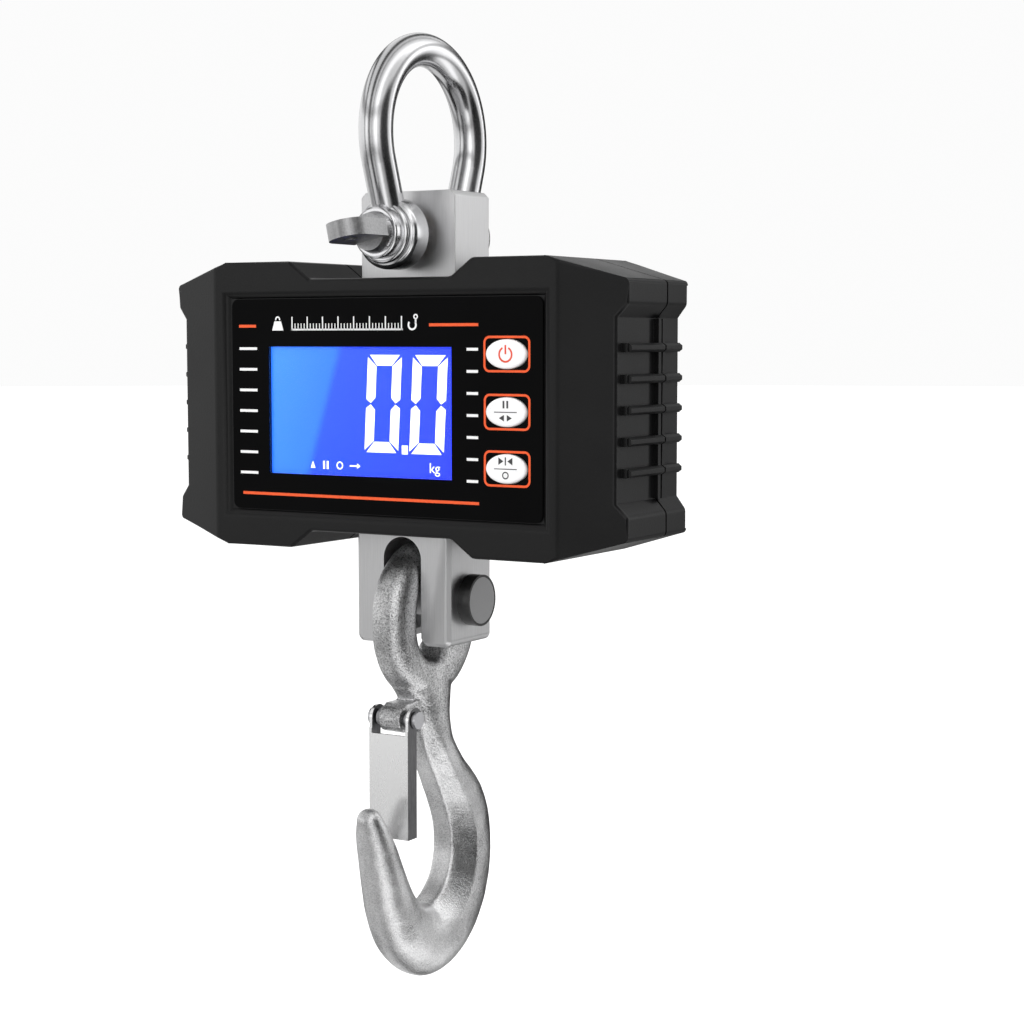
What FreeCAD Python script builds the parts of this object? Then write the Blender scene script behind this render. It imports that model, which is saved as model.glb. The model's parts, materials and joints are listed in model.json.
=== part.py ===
import FreeCAD, Part
import os
import math

# Hanging crane scale, one tonne class. Millimetres, +Z up, front face towards -Y.
# Model frame: X across the housing, Y front to back, Z up, with z = 0 at the
# middle of the housing. Everything is exported shifted along Y and Z so that
# the origin is the bearing point inside the crown of the shackle bow.

V = FreeCAD.Vector
os.makedirs("parts", exist_ok=True)

# ---------------------------------------------------------------- dimensions
# housing
HB = 83.1          # half width over the side bumpers
HA = 58.7          # half width where the top and bottom start to slope
HC = 63.1          # half width of the flat front face
HF = 25.4          # half depth over the front and rear faces
HS = 19.3          # half depth of the straight side walls
HH = 45.0          # half height of the shoulders
HE = 38.0          # half height of the side walls
HN = 39.4          # half height inside the two middle notches
NO = 33.5          # half width of a notch at its mouth
NI = 25.9          # half width of a notch at its floor
WALL = 2.5         # shell wall
Y_SPLIT = 5.5      # parting plane of the two shells
SEAL_T = 0.8       # shell seal thickness
RX = 79.6          # half width over the floor of the side grips
RZ0, RZ1 = 27.0, 31.0   # half height of the grip at its floor and mouth
RIB_P = 9.13       # pitch of the grip ribs
# front panel
PX0, PX1 = -57.0, 57.6  # overlay, across
PZ = 33.3               # overlay half height
P_DEPTH = 1.6           # panel pocket depth
OV_T = 0.6              # overlay thickness
LX0, LX1, LZ0, LZ1 = -42.7, 26.0, -21.7, 18.4   # display window
KEY_X = 45.4
KEY_Z = (16.3, -0.8, -17.6)
KEY_A, KEY_B = 7.0, 4.4   # half axes of the oval keys
KEY_GAP = 0.25
KEY_PROUD = 0.9
KEY_TRAVEL = 0.5
# load path
UB_X, UB_Y, UB_TOP = 17.5, 10.0, 66.5
TOP_Y = 1.3        # the upper block and the shackle sit this far behind the middle
LB_X, LB_Y, LB_BOT = 17.5, 12.5, -75.0
CELL_X, CELL_Y, CELL_Z = 20.0, 9.5, 30.0
STUD_D = 12.0
PIN_Z = 53.0       # shackle pin axis
PIN_D = 11.0
PIN_FIT = 0.05     # radial running clearance of the shackle pin
BUSH_D = 14.0
BAR_D = 10.5       # shackle bow bar
JAW = 27.0         # inside width at the ears
EAR_R, EAR_T = 11.0, 9.0
BOW_R = 27.0       # centreline radius of the bow
BOW_Z = 83.7       # centre of the bow arc
CROWN = BOW_Z + BOW_R - BAR_D / 2.0   # bearing point inside the bow
COLLAR_R = 7.9
TAB_Y = -41.6      # centre of the tab's round end and of its locking-wire hole
TAB_HOLE = 4.2
TAB_T, TAB_TILT = 5.2, 12.0   # tab thickness, and its turn about the pin axis
LP_Z = -61.0       # hook pin axis
LP_D = 12.0
SLOT = 7.0         # half width of the fork slot
SLOT_TOP = -41.0
# hook latch
LAT_Y, LAT_Z = -16.6, -97.8
LAT_L = 37.5

parts = {}


def add(name, shape):
    parts[name] = shape


# ---------------------------------------------------------------- helpers
def box(x0, x1, y0, y1, z0, z1):
    return Part.makeBox(x1 - x0, y1 - y0, z1 - z0, V(x0, y0, z0))


def cyl_x(r, x0, x1, y, z):
    return Part.makeCylinder(r, x1 - x0, V(x0, y, z), V(1, 0, 0))


def cyl_y(r, y0, y1, x, z):
    return Part.makeCylinder(r, y1 - y0, V(x, y0, z), V(0, 1, 0))


def cyl_z(r, z0, z1, x, y):
    return Part.makeCylinder(r, z1 - z0, V(x, y, z0), V(0, 0, 1))


def prism_y(pts, y0, y1):
    w = Part.makePolygon([V(x, y0, z) for x, z in pts + pts[:1]])
    return Part.Face(w).extrude(V(0, y1 - y0, 0))


def prism_z(pts, z0, z1):
    w = Part.makePolygon([V(x, y, z0) for x, y in pts + pts[:1]])
    return Part.Face(w).extrude(V(0, 0, z1 - z0))


def prism_x(pts, x0, x1):
    w = Part.makePolygon([V(x0, y, z) for y, z in pts + pts[:1]])
    return Part.Face(w).extrude(V(x1 - x0, 0, 0))


def inset(pts, d):
    """A clockwise or anticlockwise polygon moved inwards by d."""
    n = len(pts)
    area = sum(pts[i][0] * pts[(i + 1) % n][1] - pts[(i + 1) % n][0] * pts[i][1] for i in range(n))
    s = 1.0 if area > 0 else -1.0
    lines = []
    for i in range(n):
        (x0, y0), (x1, y1) = pts[i], pts[(i + 1) % n]
        length = math.hypot(x1 - x0, y1 - y0)
        ux, uy = (x1 - x0) / length, (y1 - y0) / length
        lines.append((x0 - uy * d * s, y0 + ux * d * s, ux, uy))
    out = []
    for i in range(n):
        ax, ay, aux, auy = lines[i - 1]
        bx, by, bux, buy = lines[i]
        det = aux * buy - auy * bux
        t = ((bx - ax) * buy - (by - ay) * bux) / det
        out.append((ax + aux * t, ay + auy * t))
    return out


def rounded_xz(x0, x1, z0, z1, r, y0, y1):
    b = box(x0, x1, y0, y1, z0, z1)
    if r > 0:
        b = b.makeFillet(r, [e for e in b.Edges if abs(e.Vertexes[0].Point.y - e.Vertexes[-1].Point.y) > 1e-6])
    return b


def oval_y(a, b, y0, y1, x, z):
    """An elliptical prism along Y."""
    w = Part.Wire([Part.Ellipse(V(x + a, y0, z), V(x, y0, z + b), V(x, y0, z)).toShape()])
    return Part.Face(w).extrude(V(0, y1 - y0, 0))


def soften(shape, r, pick):
    """Fillet the picked edges, or leave the shape alone if that fails."""
    edges = [e for e in shape.Edges if pick(e)]
    if not edges:
        return shape
    try:
        s = shape.makeFillet(r, edges)
        if s.isValid() and len(s.Solids) == 1:
            return s
    except Exception:
        pass
    return shape


def bevel(shape, c, pick):
    edges = [e for e in shape.Edges if pick(e)]
    if not edges:
        return shape
    try:
        s = shape.makeChamfer(c, edges)
        if s.isValid() and len(s.Solids) == 1:
            return s
    except Exception:
        pass
    return shape


def direction(e):
    a, b = e.Vertexes[0].Point, e.Vertexes[-1].Point
    d = b - a
    return d.normalize() if d.Length > 1e-9 else V(0, 0, 0)


# ---------------------------------------------------------------- housing
OUT_XZ = [(NI, HN), (NO, HH), (HA, HH), (HB, HE), (HB, -HE), (HA, -HH), (NO, -HH), (NI, -HN),
          (-NI, -HN), (-NO, -HH), (-HA, -HH), (-HB, -HE), (-HB, HE), (-HA, HH), (-NO, HH), (-NI, HN)]
OUT_XY = [(-HB, -HS), (-HC, -HF), (HC, -HF), (HB, -HS), (HB, HS), (HC, HF), (-HC, HF), (-HB, HS)]


def hull(d):
    a = prism_y(inset(OUT_XZ, d) if d else OUT_XZ, -HF - 1, HF + 1)
    b = prism_z(inset(OUT_XY, d) if d else OUT_XY, -HH - 1, HH + 1)
    return a.common(b).removeSplitter()


outer = hull(0)
outer = soften(outer, 1.6, lambda e: abs(direction(e).y) > 0.99 and max(abs(e.BoundBox.XMax), abs(e.BoundBox.XMin)) > HA - 1)
# side grips: a shallow recess through the whole depth
for s in (1, -1):
    pts = [(s * RX, -RZ0), (s * (HB + 0.1), -RZ1), (s * (HB + 2), -RZ1), (s * (HB + 2), RZ1), (s * (HB + 0.1), RZ1), (s * RX, RZ0)]
    outer = outer.cut(prism_y(pts, -HF - 2, HF + 2))
cavity = hull(WALL)
# the cavity stays clear of the grip floors
for s in (1, -1):
    x0, x1 = sorted((s * (RX - WALL), s * (HB + 2)))
    cavity = cavity.cut(box(x0, x1, -HF, HF, -RZ1 - WALL + 0.6, RZ1 + WALL - 0.6))
shell = outer.cut(cavity)
wall = shell.copy()
# ribs on the grips
for s in (1, -1):
    for i in range(-2, 3):
        z = i * RIB_P
        x0, x1 = sorted((s * (RX - 0.4), s * 81.6))
        r = box(x0, x1, -17.2, 17.2, z - 1.35, z + 1.35)
        tip = prism_y([(s * 81.6, z - 1.35), (s * 82.7, z - 0.6), (s * 82.7, z + 0.6), (s * 81.6, z + 1.35)], -16.6, 16.6)
        shell = shell.fuse([r, tip])
    x0, x1 = sorted((s * (RX - 0.4), s * 81.4))
    shell = shell.fuse(box(x0, x1, Y_SPLIT - 2.2, Y_SPLIT + 2.2, -RZ0 + 0.2, RZ0 - 0.2))
shell = shell.removeSplitter()
# ways through for the two load blocks
slot_up = box(-UB_X - 0.6, UB_X + 0.6, TOP_Y - UB_Y - 0.6, TOP_Y + UB_Y + 0.6, HN - WALL - 2, HN + 2)
slot_dn = box(-LB_X - 0.6, LB_X + 0.6, -LB_Y - 0.6, LB_Y + 0.6, -HN - 2, -HN + WALL + 2)
shell = shell.cut(slot_up).cut(slot_dn)

y_f, y_r = Y_SPLIT - SEAL_T / 2, Y_SPLIT + SEAL_T / 2
front = shell.common(box(-100, 100, -60, y_f, -60, 60))
rear = shell.common(box(-100, 100, y_r, 60, -60, 60))
# the seal is the wall's own section behind an outer lip 0.9 wide
slab = box(-100, 100, y_f, y_r, -60, 60)
seal = wall.common(slab).common(hull(0.9))
for s in (1, -1):
    x0, x1 = sorted((s * (RX - 0.9), s * (HB + 2)))
    seal = seal.cut(box(x0, x1, -60, 60, -RZ1 - 0.9, RZ1 + 0.9))
seal = seal.cut(slot_up).cut(slot_dn).removeSplitter()

# panel pocket with a bevelled rim
f_in = -HF + P_DEPTH
w0 = Part.makePolygon([V(x, -HF - 0.01, z) for x, z in ((-59.7, -35.3), (59.7, -35.3), (59.7, 35.0), (-59.7, 35.0), (-59.7, -35.3))])
w1 = Part.makePolygon([V(x, f_in, z) for x, z in ((PX0 - 0.2, -PZ - 0.2), (PX1 + 0.2, -PZ - 0.2), (PX1 + 0.2, PZ + 0.2), (PX0 - 0.2, PZ + 0.2), (PX0 - 0.2, -PZ - 0.2))])
pocket = Part.makeLoft([w0, w1], True, True)
front = front.cut(pocket)
pad = box(PX0 - 2, PX1 + 2, f_in, f_in + WALL - 0.2, -PZ - 2, PZ + 2)
front = front.fuse(pad.common(hull(0.5))).removeSplitter()
front = front.cut(box(LX0 - 0.15, LX1 + 0.15, -HF - 1, f_in + 5, LZ0 - 0.15, LZ1 + 0.15))
for kz in KEY_Z:
    front = front.cut(oval_y(KEY_A + KEY_GAP, KEY_B + KEY_GAP, -HF - 1, f_in + 5, KEY_X, kz))
back_of_front = f_in + WALL - 0.2

# screw bosses: tubes in the rear shell, blind posts in the front shell
BOSS = [(-55.0, 38.2), (55.0, 38.2), (-55.0, -38.2), (55.0, -38.2)]
for x, z in BOSS:
    post = cyl_y(3.6, back_of_front - 0.3, y_f, x, z).common(hull(0.6))
    front = front.fuse(post)
    tube = cyl_y(3.6, y_r, HF - 0.5, x, z).common(hull(0.6))
    rear = rear.fuse(tube)
front = front.removeSplitter()
rear = rear.removeSplitter()
for x, z in BOSS:
    front = front.cut(cyl_y(1.5, y_f - 13.0, y_f + 1, x, z))
    rear = rear.cut(cyl_y(1.7, y_r - 1, HF + 1, x, z))
    rear = rear.cut(cyl_y(3.0, HF - 3.2, HF + 1, x, z))
    seal = seal.cut(cyl_y(1.9, -60, 60, x, z))

# battery door opening in the rear face
DX0, DX1, DZ = 22.0, 61.5, 34.0
rear = rear.cut(rounded_xz(DX0 + 1.5, DX1 - 1.5, -DZ + 1.5, DZ - 1.5, 2.0, HF - 5, HF + 2))
rear = rear.cut(rounded_xz(DX0, DX1, -DZ, DZ, 2.5, HF - 1.2, HF + 2))
door = rounded_xz(DX0 + 0.2, DX1 - 0.2, -DZ + 0.2, DZ - 0.2, 2.3, HF - 1.2, HF)
door = door.fuse(rounded_xz(DX0 + 1.7, DX1 - 1.7, -DZ + 1.7, DZ - 1.7, 1.8, HF - 2.4, HF - 1.2)).removeSplitter()
door = soften(door, 0.4, lambda e: abs(e.BoundBox.YMin - HF) < 1e-6 and abs(e.BoundBox.YMax - HF) < 1e-6)
for z in (-28.0, 28.0):
    door = door.cut(cyl_y(1.6, HF - 4, HF + 1, 41.75, z)).cut(cyl_y(2.8, HF - 1.0, HF + 1, 41.75, z))
# grip lines moulded on the door
for i in range(5):
    door = door.cut(box(32.0, 51.5, HF - 0.5, HF + 1, -8.4 + i * 4.0, -7.6 + i * 4.0))
# two lugs behind the door take its screws
for sz in (1, -1):
    z0, z1 = sorted((sz * 24.5, sz * 33.3))
    rear = rear.fuse(box(39.0, 44.5, 19.6, HF - 2.45, z0, z1)).removeSplitter().cut(cyl_y(1.45, 19.0, HF, 41.75, sz * 28.0))
# charging jack in the rear face, low on the other side
JX, JZ = -44.0, -24.0
rear = rear.cut(cyl_y(5.6, HF - 5, HF + 1, JX, JZ))
jack = cyl_y(5.4, HF - 11.0, HF - 0.4, JX, JZ).fuse(cyl_y(7.4, HF - 4.6, HF - WALL - 0.1, JX, JZ)).removeSplitter()
jack = jack.cut(cyl_y(2.85, HF - 9.5, HF, JX, JZ)).fuse(cyl_y(1.0, HF - 9.6, HF - 1.4, JX, JZ)).removeSplitter()
# sounder holes in the rear face
for i in range(-2, 3):
    for j in range(-2, 3):
        if i * i + j * j <= 5:
            rear = rear.cut(cyl_y(0.8, HF - 5, HF + 1, -44.0 + 3.2 * i, 16.0 + 3.2 * j))

add("front_shell", front)
add("rear_shell", rear)
add("shell_seal", seal)
add("battery_door", door)
add("charging_jack", jack)

screws = []
for x, z in BOSS:
    s = cyl_y(2.8, HF - 3.2, HF - 1.2, x, z).fuse(cyl_y(1.45, y_f - 12.0, HF - 3.2, x, z)).removeSplitter()
    s = s.cut(box(x - 1.8, x + 1.8, HF - 2.0, HF, z - 0.35, z + 0.35)).cut(box(x - 0.35, x + 0.35, HF - 2.0, HF, z - 1.8, z + 1.8))
    screws.append(s)
add("housing_screws", Part.makeCompound(screws))
door_screws = []
for z in (-28.0, 28.0):
    s = cyl_y(2.6, HF - 1.0, HF - 0.1, 41.75, z).fuse(cyl_y(1.4, HF - 5.6, HF - 1.0, 41.75, z)).removeSplitter()
    s = s.cut(box(41.75 - 1.7, 41.75 + 1.7, HF - 0.6, HF, z - 0.3, z + 0.3)).cut(box(41.75 - 0.3, 41.75 + 0.3, HF - 0.6, HF, z - 1.7, z + 1.7))
    door_screws.append(s)
add("door_screws", Part.makeCompound(door_screws))

# ---------------------------------------------------------------- front panel
overlay = rounded_xz(PX0, PX1, -PZ, PZ, 2.4, f_in - OV_T, f_in)
overlay = overlay.cut(box(LX0, LX1, -HF - 1, 0, LZ0, LZ1))
for kz in KEY_Z:
    overlay = overlay.cut(oval_y(KEY_A + KEY_GAP, KEY_B + KEY_GAP, -HF - 1, 0, KEY_X, kz))
add("panel_overlay", overlay)
g0 = f_in - OV_T + 0.25
lens = box(LX0 + 0.1, LX1 - 0.1, g0, g0 + 1.2, LZ0 + 0.1, LZ1 - 0.1)
add("display_window", lens)
glass = box(LX0 + 0.1, LX1 - 0.1, g0 + 1.3, g0 + 3.3, LZ0 + 0.1, LZ1 - 0.1)
add("lcd_glass", glass)
b0 = g0 + 3.3
light = box(LX0 - 1.6, LX1 + 1.6, b0 + 0.05, b0 + 3.2, LZ0 - 1.6, LZ1 + 1.6)
add("backlight", light)
brd0 = b0 + 3.2
keys_names = ("key_power", "key_hold", "key_tare")
top_y = f_in - OV_T - KEY_PROUD
for name, kz in zip(keys_names, KEY_Z):
    k = oval_y(KEY_A, KEY_B, top_y, back_of_front + 0.3, KEY_X, kz)
    k = soften(k, 0.7, lambda e: abs(e.BoundBox.YMin - top_y) < 1e-6 and abs(e.BoundBox.YMax - top_y) < 1e-6)
    k = k.fuse(oval_y(KEY_A + 1.1, KEY_B + 1.1, back_of_front + 0.3, back_of_front + 1.1, KEY_X, kz)).removeSplitter()
    add(name, k)
sw = []
for kz in KEY_Z:
    sw.append(box(KEY_X - 3, KEY_X + 3, brd0 - 1.6, brd0, kz - 3, kz + 3).fuse(cyl_y(1.7, back_of_front + 1.1 + KEY_TRAVEL + 0.1, brd0 - 1.6, KEY_X, kz)).removeSplitter())
add("key_switches", Part.makeCompound(sw))
board = box(-50.0, 53.0, brd0, brd0 + 1.6, -31.0, 31.0)
for x, z in ((-47.0, 28.0), (50.0, 28.0), (-47.0, -28.0), (50.0, -28.0)):
    board = board.cut(cyl_y(1.6, brd0 - 1, brd0 + 3, x, z))
add("main_board", board)
bb = brd0 + 1.6
add("radio_module", box(-46.0, -28.0, bb, bb + 2.4, -20.0, -6.0))
add("processor_chip", box(-44.0, -32.0, bb, bb + 1.5, 2.0, 14.0))
add("sounder", cyl_y(6.0, bb, bb + 6.5, -38.0, 22.0).cut(cyl_y(1.2, bb + 5.0, bb + 7.0, -38.0, 22.0)))
bs = []
for x, z in ((-47.0, 28.0), (50.0, 28.0), (-47.0, -28.0), (50.0, -28.0)):
    bs.append(cyl_y(2.6, bb, bb + 1.6, x, z).fuse(cyl_y(1.3, back_of_front + 1.2, bb, x, z)).removeSplitter())
add("board_screws", Part.makeCompound(bs))
st = []
for x, z in ((-47.0, 28.0), (50.0, 28.0), (-47.0, -28.0), (50.0, -28.0)):
    st.append(cyl_y(3.0, back_of_front, brd0, x, z).cut(cyl_y(1.35, back_of_front - 1, brd0 + 1, x, z)))
add("board_spacers", Part.makeCompound(st))

# ---------------------------------------------------------------- load cell and blocks
cell = box(-CELL_X, CELL_X, -CELL_Y, CELL_Y, -CELL_Z, CELL_Z)
cell = cell.cut(box(-CELL_X - 1, 13.0, -20, 20, 11.0, 13.6))
cell = cell.cut(box(-13.0, CELL_X + 1, -20, 20, -13.6, -11.0))
cell = cell.cut(cyl_y(6.2, -20, 20, -4.2, 0).fuse([cyl_y(6.2, -20, 20, 4.2, 0)]))
cell = bevel(cell, 0.8, lambda e: abs(direction(e).z) > 0.99 and abs(abs(e.BoundBox.YMin) - CELL_Y) < 1e-6 and abs(abs(e.BoundBox.XMin) - CELL_X) < 1e-6)
cell = cell.cut(cyl_z(STUD_D / 2 + 0.05, 17.0, 40, 0, 0)).cut(cyl_z(STUD_D / 2 + 0.05, -40, -17.0, 0, 0))
add("load_cell", cell)

ub = box(-UB_X, UB_X, TOP_Y - UB_Y, TOP_Y + UB_Y, CELL_Z, UB_TOP)
ub = bevel(ub, 1.6, lambda e: abs(direction(e).y) > 0.99 and e.BoundBox.ZMin > UB_TOP - 1e-3)
ub = bevel(ub, 0.9, lambda e: abs(direction(e).z) > 0.99 or (abs(direction(e).x) > 0.99 and e.BoundBox.ZMin > UB_TOP - 1e-3))
ub = ub.cut(cyl_y(BUSH_D / 2, -20, 20, 0, PIN_Z)).cut(cyl_z(STUD_D / 2 + 0.05, 20, 43.5, 0, 0))
add("upper_block", ub)
bush = cyl_y(BUSH_D / 2, TOP_Y - UB_Y + 0.2, TOP_Y + UB_Y - 0.2, 0, PIN_Z).cut(cyl_y(PIN_D / 2 + PIN_FIT, -20, 20, 0, PIN_Z))
add("pin_bush", bush)
add("upper_stud", cyl_z(STUD_D / 2, 17.2, 43.2, 0, 0))

lb = box(-LB_X, LB_X, -LB_Y, LB_Y, LB_BOT, -CELL_Z)
lb = soften(lb, 2.4, lambda e: abs(direction(e).y) > 0.99 and e.BoundBox.ZMax < LB_BOT + 1e-3)
lb = bevel(lb, 1.1, lambda e: abs(direction(e).z) > 0.99)
lb = lb.cut(box(-SLOT, SLOT, -20, 20, LB_BOT - 5, SLOT_TOP - SLOT)).cut(cyl_y(SLOT, -20, 20, 0, SLOT_TOP - SLOT))
lb = lb.cut(prism_y([(-SLOT - 1.6, LB_BOT - 0.1), (SLOT + 1.6, LB_BOT - 0.1), (SLOT - 0.1, LB_BOT + 2.6), (-SLOT + 0.1, LB_BOT + 2.6)], -20, 20))
lb = lb.cut(cyl_x(LP_D / 2 + 0.03, -30, 30, 0, LP_Z)).cut(cyl_z(STUD_D / 2 + 0.05, -39.4, -20, 0, 0))
add("lower_fork", lb)
add("lower_stud", cyl_z(STUD_D / 2, -39.2, -17.2, 0, 0))

lpin = cyl_x(LP_D / 2, -19.6, LB_X, 0, LP_Z).fuse(cyl_x(7.3, LB_X, LB_X + 4.2, 0, LP_Z)).removeSplitter()
lpin = lpin.cut(cyl_x(9, -18.9, -17.7, 0, LP_Z).cut(cyl_x(5.3, -19, -17, 0, LP_Z)))
add("hook_pin", lpin)
ring = cyl_x(8.1, LB_X, LB_X + 4.2, 0, LP_Z).cut(cyl_x(7.35, LB_X - 1, LB_X + 6, 0, LP_Z))
add("pin_head_sleeve", ring)
clip = cyl_x(8.2, -18.8, -17.8, 0, LP_Z).cut(cyl_x(5.35, -20, -17, 0, LP_Z))
clip = clip.cut(box(-20, -17, -3.0, 3.0, LP_Z, LP_Z + 12))
add("pin_circlip", clip)

# bracket that hangs the rear shell from the fixed upper half of the cell
br = box(-36.0, 21.0, CELL_Y + 0.1, CELL_Y + 2.1, 17.5, 27.5)
br = br.fuse(box(-36.0, -34.0, CELL_Y + 0.1, HF - WALL - 0.1, 17.5, 27.5)).removeSplitter()
for x in (-12.0, 12.0):
    br = br.cut(cyl_y(2.2, 0, 30, x, 22.5))
add("cell_bracket", br)
cs = []
for x in (-12.0, 12.0):
    c = cyl_y(3.6, CELL_Y + 2.1, CELL_Y + 5.1, x, 22.5).fuse(cyl_y(2.0, CELL_Y - 5.5, CELL_Y + 2.1, x, 22.5)).removeSplitter()
    c = c.cut(cyl_y(1.6, CELL_Y + 3.4, CELL_Y + 6, x, 22.5))
    cs.append(c)
    parts["load_cell"] = parts["load_cell"].cut(cyl_y(2.05, CELL_Y - 5.8, CELL_Y + 1, x, 22.5))
add("bracket_screws", Part.makeCompound(cs))

# ---------------------------------------------------------------- battery
tray = box(22.6, 61.4, 1.2, HF - WALL - 0.2, -34.3, 34.3).cut(box(23.6, 60.4, 2.4, HF, -33.4, 33.4))
tray = tray.cut(box(22.0, 62.0, 12.0, HF, -20.0, 20.0))
tray = tray.common(hull(WALL + 0.1))
add("battery_tray", tray)
cells = [cyl_z(9.1, -32.4, 32.4, x, 12.0) for x in (32.9, 51.2)]
add("battery_cells", Part.makeCompound(cells))
ct = [box(24.4, 59.6, 4.5, 19.4, z0, z0 + 0.8) for z0 in (-33.3, 32.5)]
add("battery_contacts", Part.makeCompound(ct))


def lead(points, r):
    """A round lead: straight runs joined by tangent arcs."""
    edges = []
    p = [V(*q) for q in points]
    start = p[0]
    for i in range(1, len(p) - 1):
        a, b = (p[i] - p[i - 1]), (p[i + 1] - p[i])
        la, lb2 = a.Length, b.Length
        a.normalize(); b.normalize()
        ang = math.acos(max(-1.0, min(1.0, a.dot(b))))
        t = 0.45 * min(la, lb2)
        rad = t / math.tan(ang / 2)
        s, e = p[i] - a * t, p[i] + b * t
        bis = (b - a).normalize()
        cen = p[i] + bis * math.hypot(rad, t)
        mid = cen - bis * rad
        edges.append(Part.LineSegment(start, s).toShape())
        edges.append(Part.Arc(s, mid, e).toShape())
        start = e
    edges.append(Part.LineSegment(start, p[-1]).toShape())
    wire = Part.Wire(edges)
    d = (p[1] - p[0]).normalize()
    prof = Part.Wire([Part.Circle(p[0], d, r).toShape()])
    return wire.makePipeShell([prof], True, True)


add("cell_lead", lead([(-CELL_X, -3.0, -22.5), (-31.0, -3.0, -22.5), (-38.0, bb + 8, -25.5), (-38.0, bb, -25.5)], 1.2))
add("battery_lead", lead([(34.0, 1.2, 0.0), (34.0, -5.0, 0.0), (27.0, bb + 5.5, 1.5), (27.0, bb, 1.5)], 1.2))

# ---------------------------------------------------------------- shackle
ear_c = JAW / 2 + EAR_T / 2
dist = math.hypot(ear_c, BOW_Z - PIN_Z)
ang = math.atan2(PIN_Z - BOW_Z, ear_c) + math.acos(BOW_R / dist)
ty, tz = BOW_R * math.cos(ang), BOW_Z + BOW_R * math.sin(ang)
e1 = Part.LineSegment(V(0, -ear_c, PIN_Z), V(0, -ty, tz)).toShape()
e2 = Part.Arc(V(0, -ty, tz), V(0, 0, BOW_Z + BOW_R), V(0, ty, tz)).toShape()
e3 = Part.LineSegment(V(0, ty, tz), V(0, ear_c, PIN_Z)).toShape()
path = Part.Wire([e1, e2, e3])
d0 = (V(0, -ty, tz) - V(0, -ear_c, PIN_Z)).normalize()
bow = path.makePipeShell([Part.Wire([Part.Circle(V(0, -ear_c, PIN_Z), d0, BAR_D / 2).toShape()])], True, True)
for s in (-1, 1):
    y0, y1 = sorted((s * JAW / 2, s * (JAW / 2 + EAR_T)))
    ear = cyl_y(EAR_R, y0, y1, 0, PIN_Z)
    ear = soften(ear, 1.8, lambda e: e.Length > 30)
    bow = bow.fuse(ear)
# nothing of the legs may stand inside the jaw
bow = bow.cut(box(-12, 12, -JAW / 2, JAW / 2, PIN_Z - 13, PIN_Z + 12.5))
bow = bow.removeSplitter()
bow = bow.cut(cyl_y(PIN_D / 2 + 0.1, -30, 0, 0, PIN_Z)).cut(cyl_y(PIN_D / 2 + 0.02, 0, 30, 0, PIN_Z))
# spot face under the collar of the pin
bow = bow.cut(cyl_y(COLLAR_R + 0.1, -30.0, -(JAW / 2 + EAR_T), 0, PIN_Z))
bow.translate(V(0, TOP_Y, 0))
add("shackle_bow", bow)

y_ear = -(JAW / 2 + EAR_T)
pin = cyl_y(PIN_D / 2, y_ear - 0.5, JAW / 2 + EAR_T + 1.0, 0, PIN_Z)
collar = cyl_y(COLLAR_R, -28.0, y_ear, 0, PIN_Z)
collar = soften(collar, 0.8, lambda e: e.Length > 30)
stem = Part.makeCone(5.6, 6.6, 4.0, V(0, -31.5, PIN_Z), V(0, 1, 0))
tab = box(-6.4, 6.4, TAB_Y, -30.5, PIN_Z - TAB_T / 2, PIN_Z + TAB_T / 2).fuse(cyl_z(6.4, PIN_Z - TAB_T / 2, PIN_Z + TAB_T / 2, 0, TAB_Y)).removeSplitter()
tab = tab.cut(cyl_z(TAB_HOLE / 2, PIN_Z - 6, PIN_Z + 6, 0, TAB_Y))
tab.rotate(V(0, 0, PIN_Z), V(0, 1, 0), -TAB_TILT)
pin = pin.fuse([collar, stem, tab]).removeSplitter()
pin.translate(V(0, TOP_Y, 0))
add("shackle_pin", pin)

# ---------------------------------------------------------------- hook
# centreline stations: y, z, half thickness across X, half thickness in the plane
HOOK = [
    (-31.2, -127.2, 4.0, 3.4), (-29.7, -132.0, 5.4, 4.7), (-26.5, -140.0, 6.4, 5.9), (-23.4, -149.0, 7.2, 7.0),
    (-19.3, -158.5, 7.9, 8.5), (-12.6, -167.0, 8.5, 10.3), (-1.5, -172.0, 8.9, 12.1), (10.0, -168.5, 9.0, 12.5),
    (18.6, -159.0, 8.8, 12.1), (22.2, -146.0, 8.5, 11.5), (20.4, -133.0, 8.2, 11.4), (13.8, -120.5, 7.8, 10.6),
    (5.4, -110.0, 7.4, 9.8), (-0.4, -100.0, 7.4, 10.4), (-3.0, -91.5, 7.4, 13.2), (-1.0, -85.6, 6.4, 17.4),
]


def section(i):
    y, z, a, b = HOOK[i]
    j0, j1 = max(0, i - 1), min(len(HOOK) - 1, i + 1)
    ty_, tz_ = HOOK[j1][0] - HOOK[j0][0], HOOK[j1][1] - HOOK[j0][1]
    n = math.hypot(ty_, tz_)
    ty_, tz_ = ty_ / n, tz_ / n
    radial = V(0, -tz_, ty_)
    tangent = V(0, ty_, tz_)
    c = V(0, y, z)
    if a >= b:
        el = Part.Ellipse(c + V(a, 0, 0), c + radial * b, c)
    else:
        el = Part.Ellipse(c + radial * b, c + V(a, 0, 0), c)
    return Part.Wire([el.toShape()])


hook = Part.makeLoft([section(i) for i in range(len(HOOK))], True, False)
tip = Part.makeSphere(3.7, V(0, -31.5, -127.4))
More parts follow.
